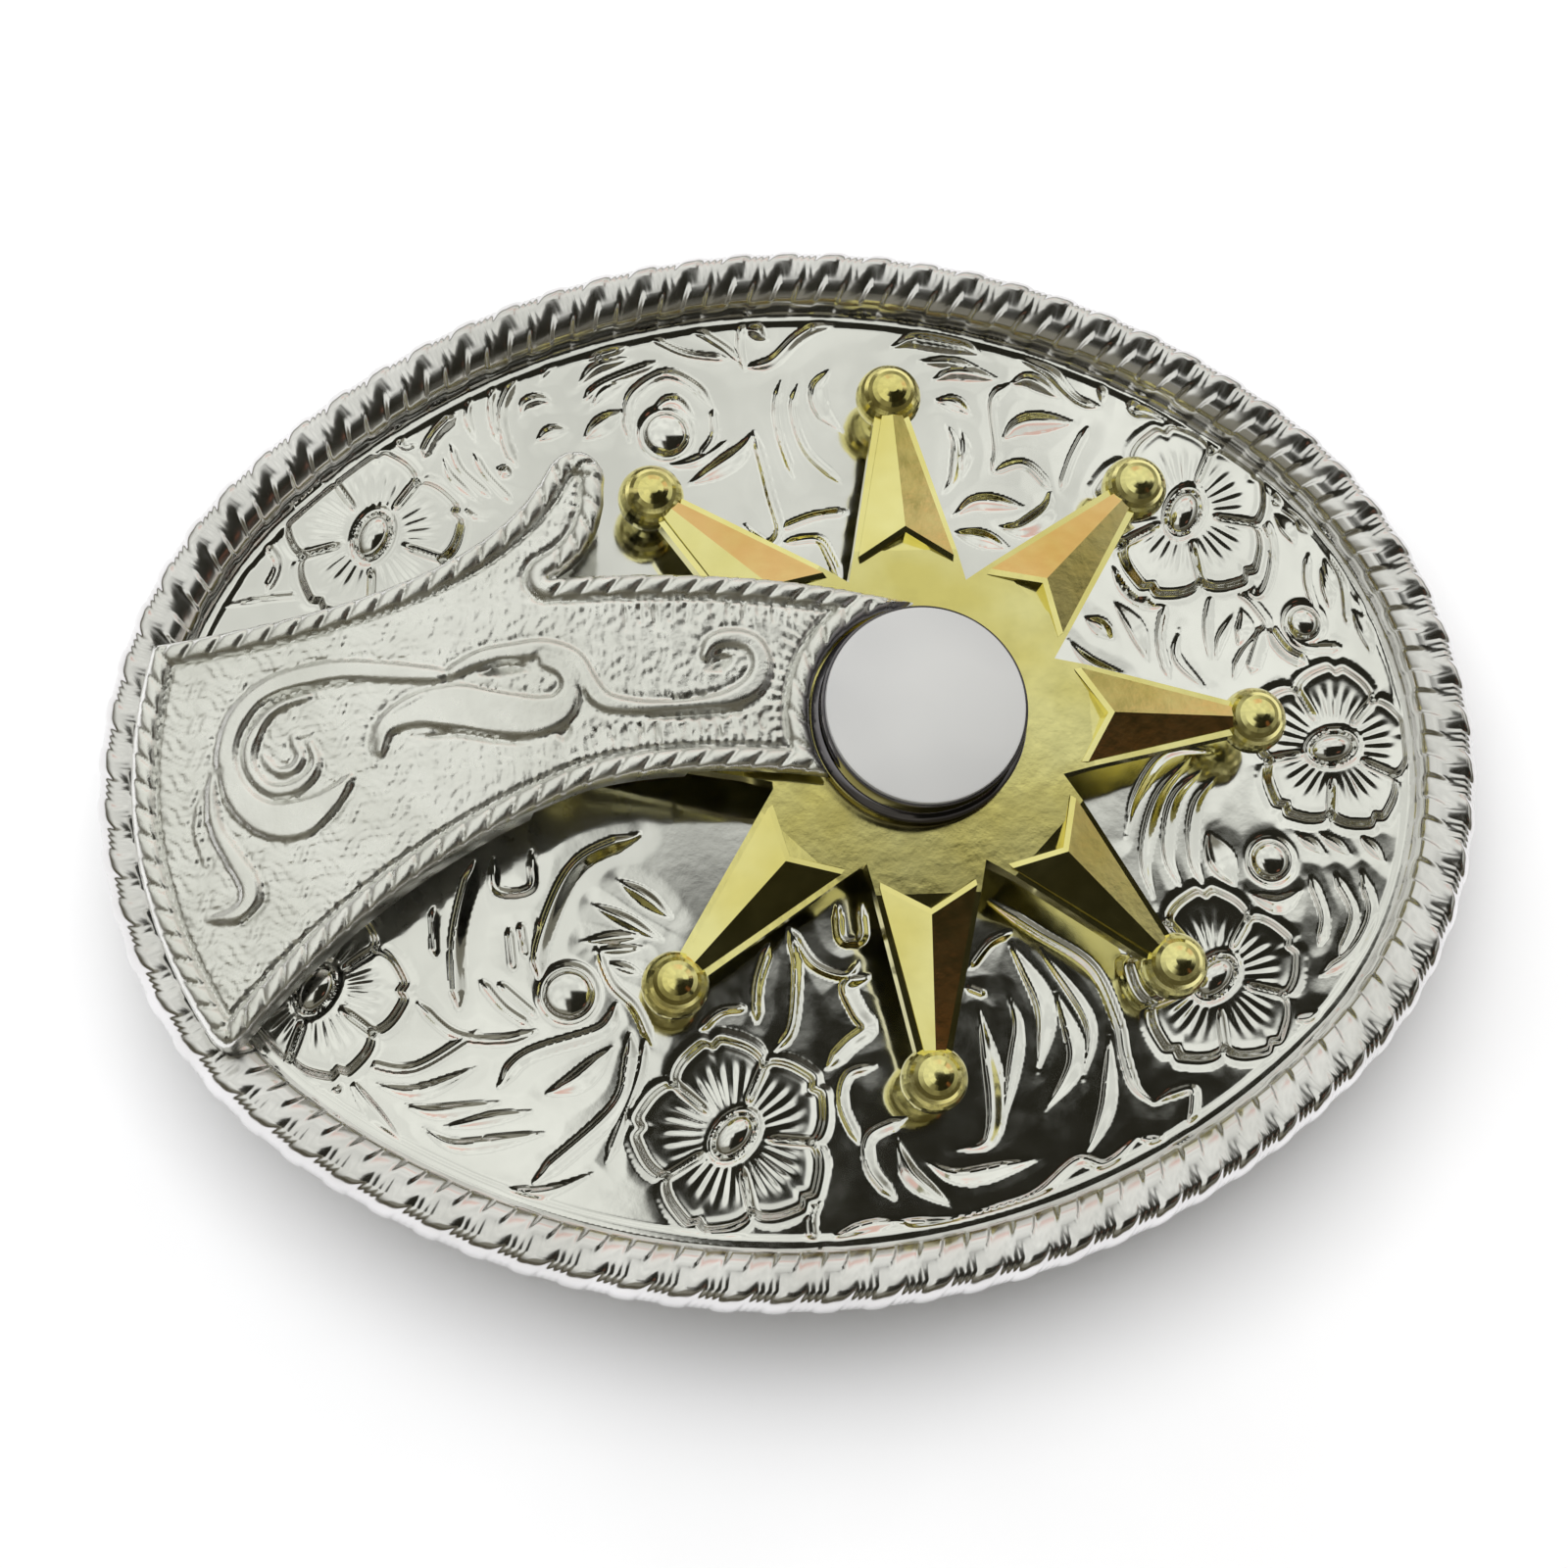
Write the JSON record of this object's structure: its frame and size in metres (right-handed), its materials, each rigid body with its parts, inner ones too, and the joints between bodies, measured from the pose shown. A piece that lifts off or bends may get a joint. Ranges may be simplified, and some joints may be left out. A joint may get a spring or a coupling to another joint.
{
  "type": "belt buckle",
  "caption": "Oval western trophy belt buckle: engraved silver plate with a rope edge, a spur shank and a gold ball-tipped rowel that spins under a plain disc, with a swinging bail and a hook on the back",
  "frame": {"origin": "centre of the oval, on the plane that the hook and hinge lugs stand on", "axes": "+X along the oval towards the bail, +Y up the face as worn, +Z out of the face"},
  "size_m": [0.097, 0.0752, 0.0235],
  "materials": {
    "engraved_silver": "gloss",
    "rope_silver": "gloss",
    "shank_silver": "satin",
    "rivet_steel": "satin",
    "dark_chrome": "polished",
    "pale_disc": "satin",
    "rowel_gold": "polished",
    "bushing_brass": "satin",
    "washer_nylon": "matte",
    "back_metal": "satin",
    "wire_chrome": "gloss"
  },
  "bodies": {
    "buckle": {"face_plate": "engraved_silver", "rope_border": "rope_silver", "spur_shank": "shank_silver", "shank_rivets": "rivet_steel", "medallion_cup": "dark_chrome", "medallion_disc": "pale_disc", "rowel_bushing": "bushing_brass", "lower_washer": "washer_nylon", "upper_washer": "washer_nylon", "rowel_axle": "rivet_steel", "axle_backing_washer": "rivet_steel", "hinge_lug_upper": "back_metal", "hinge_lug_lower": "back_metal", "belt_hook": "wire_chrome"},
    "rowel_wheel": {"rowel": "rowel_gold"},
    "bail": {"belt_bail": "wire_chrome"}
  },
  "joints": [
    {"name": "rowel_spin", "type": "hinge", "parent": "buckle", "child": "rowel_wheel", "pos_m": [0.0069, 0.0011, 0.018], "axis": [0, 0, 1], "continuous": true},
    {"name": "bail_swing", "type": "hinge", "parent": "buckle", "child": "bail", "pos_m": [0.02, 0, 0.003], "axis": [0, 1, 0], "range_deg": [-24, 170]}
  ]
}
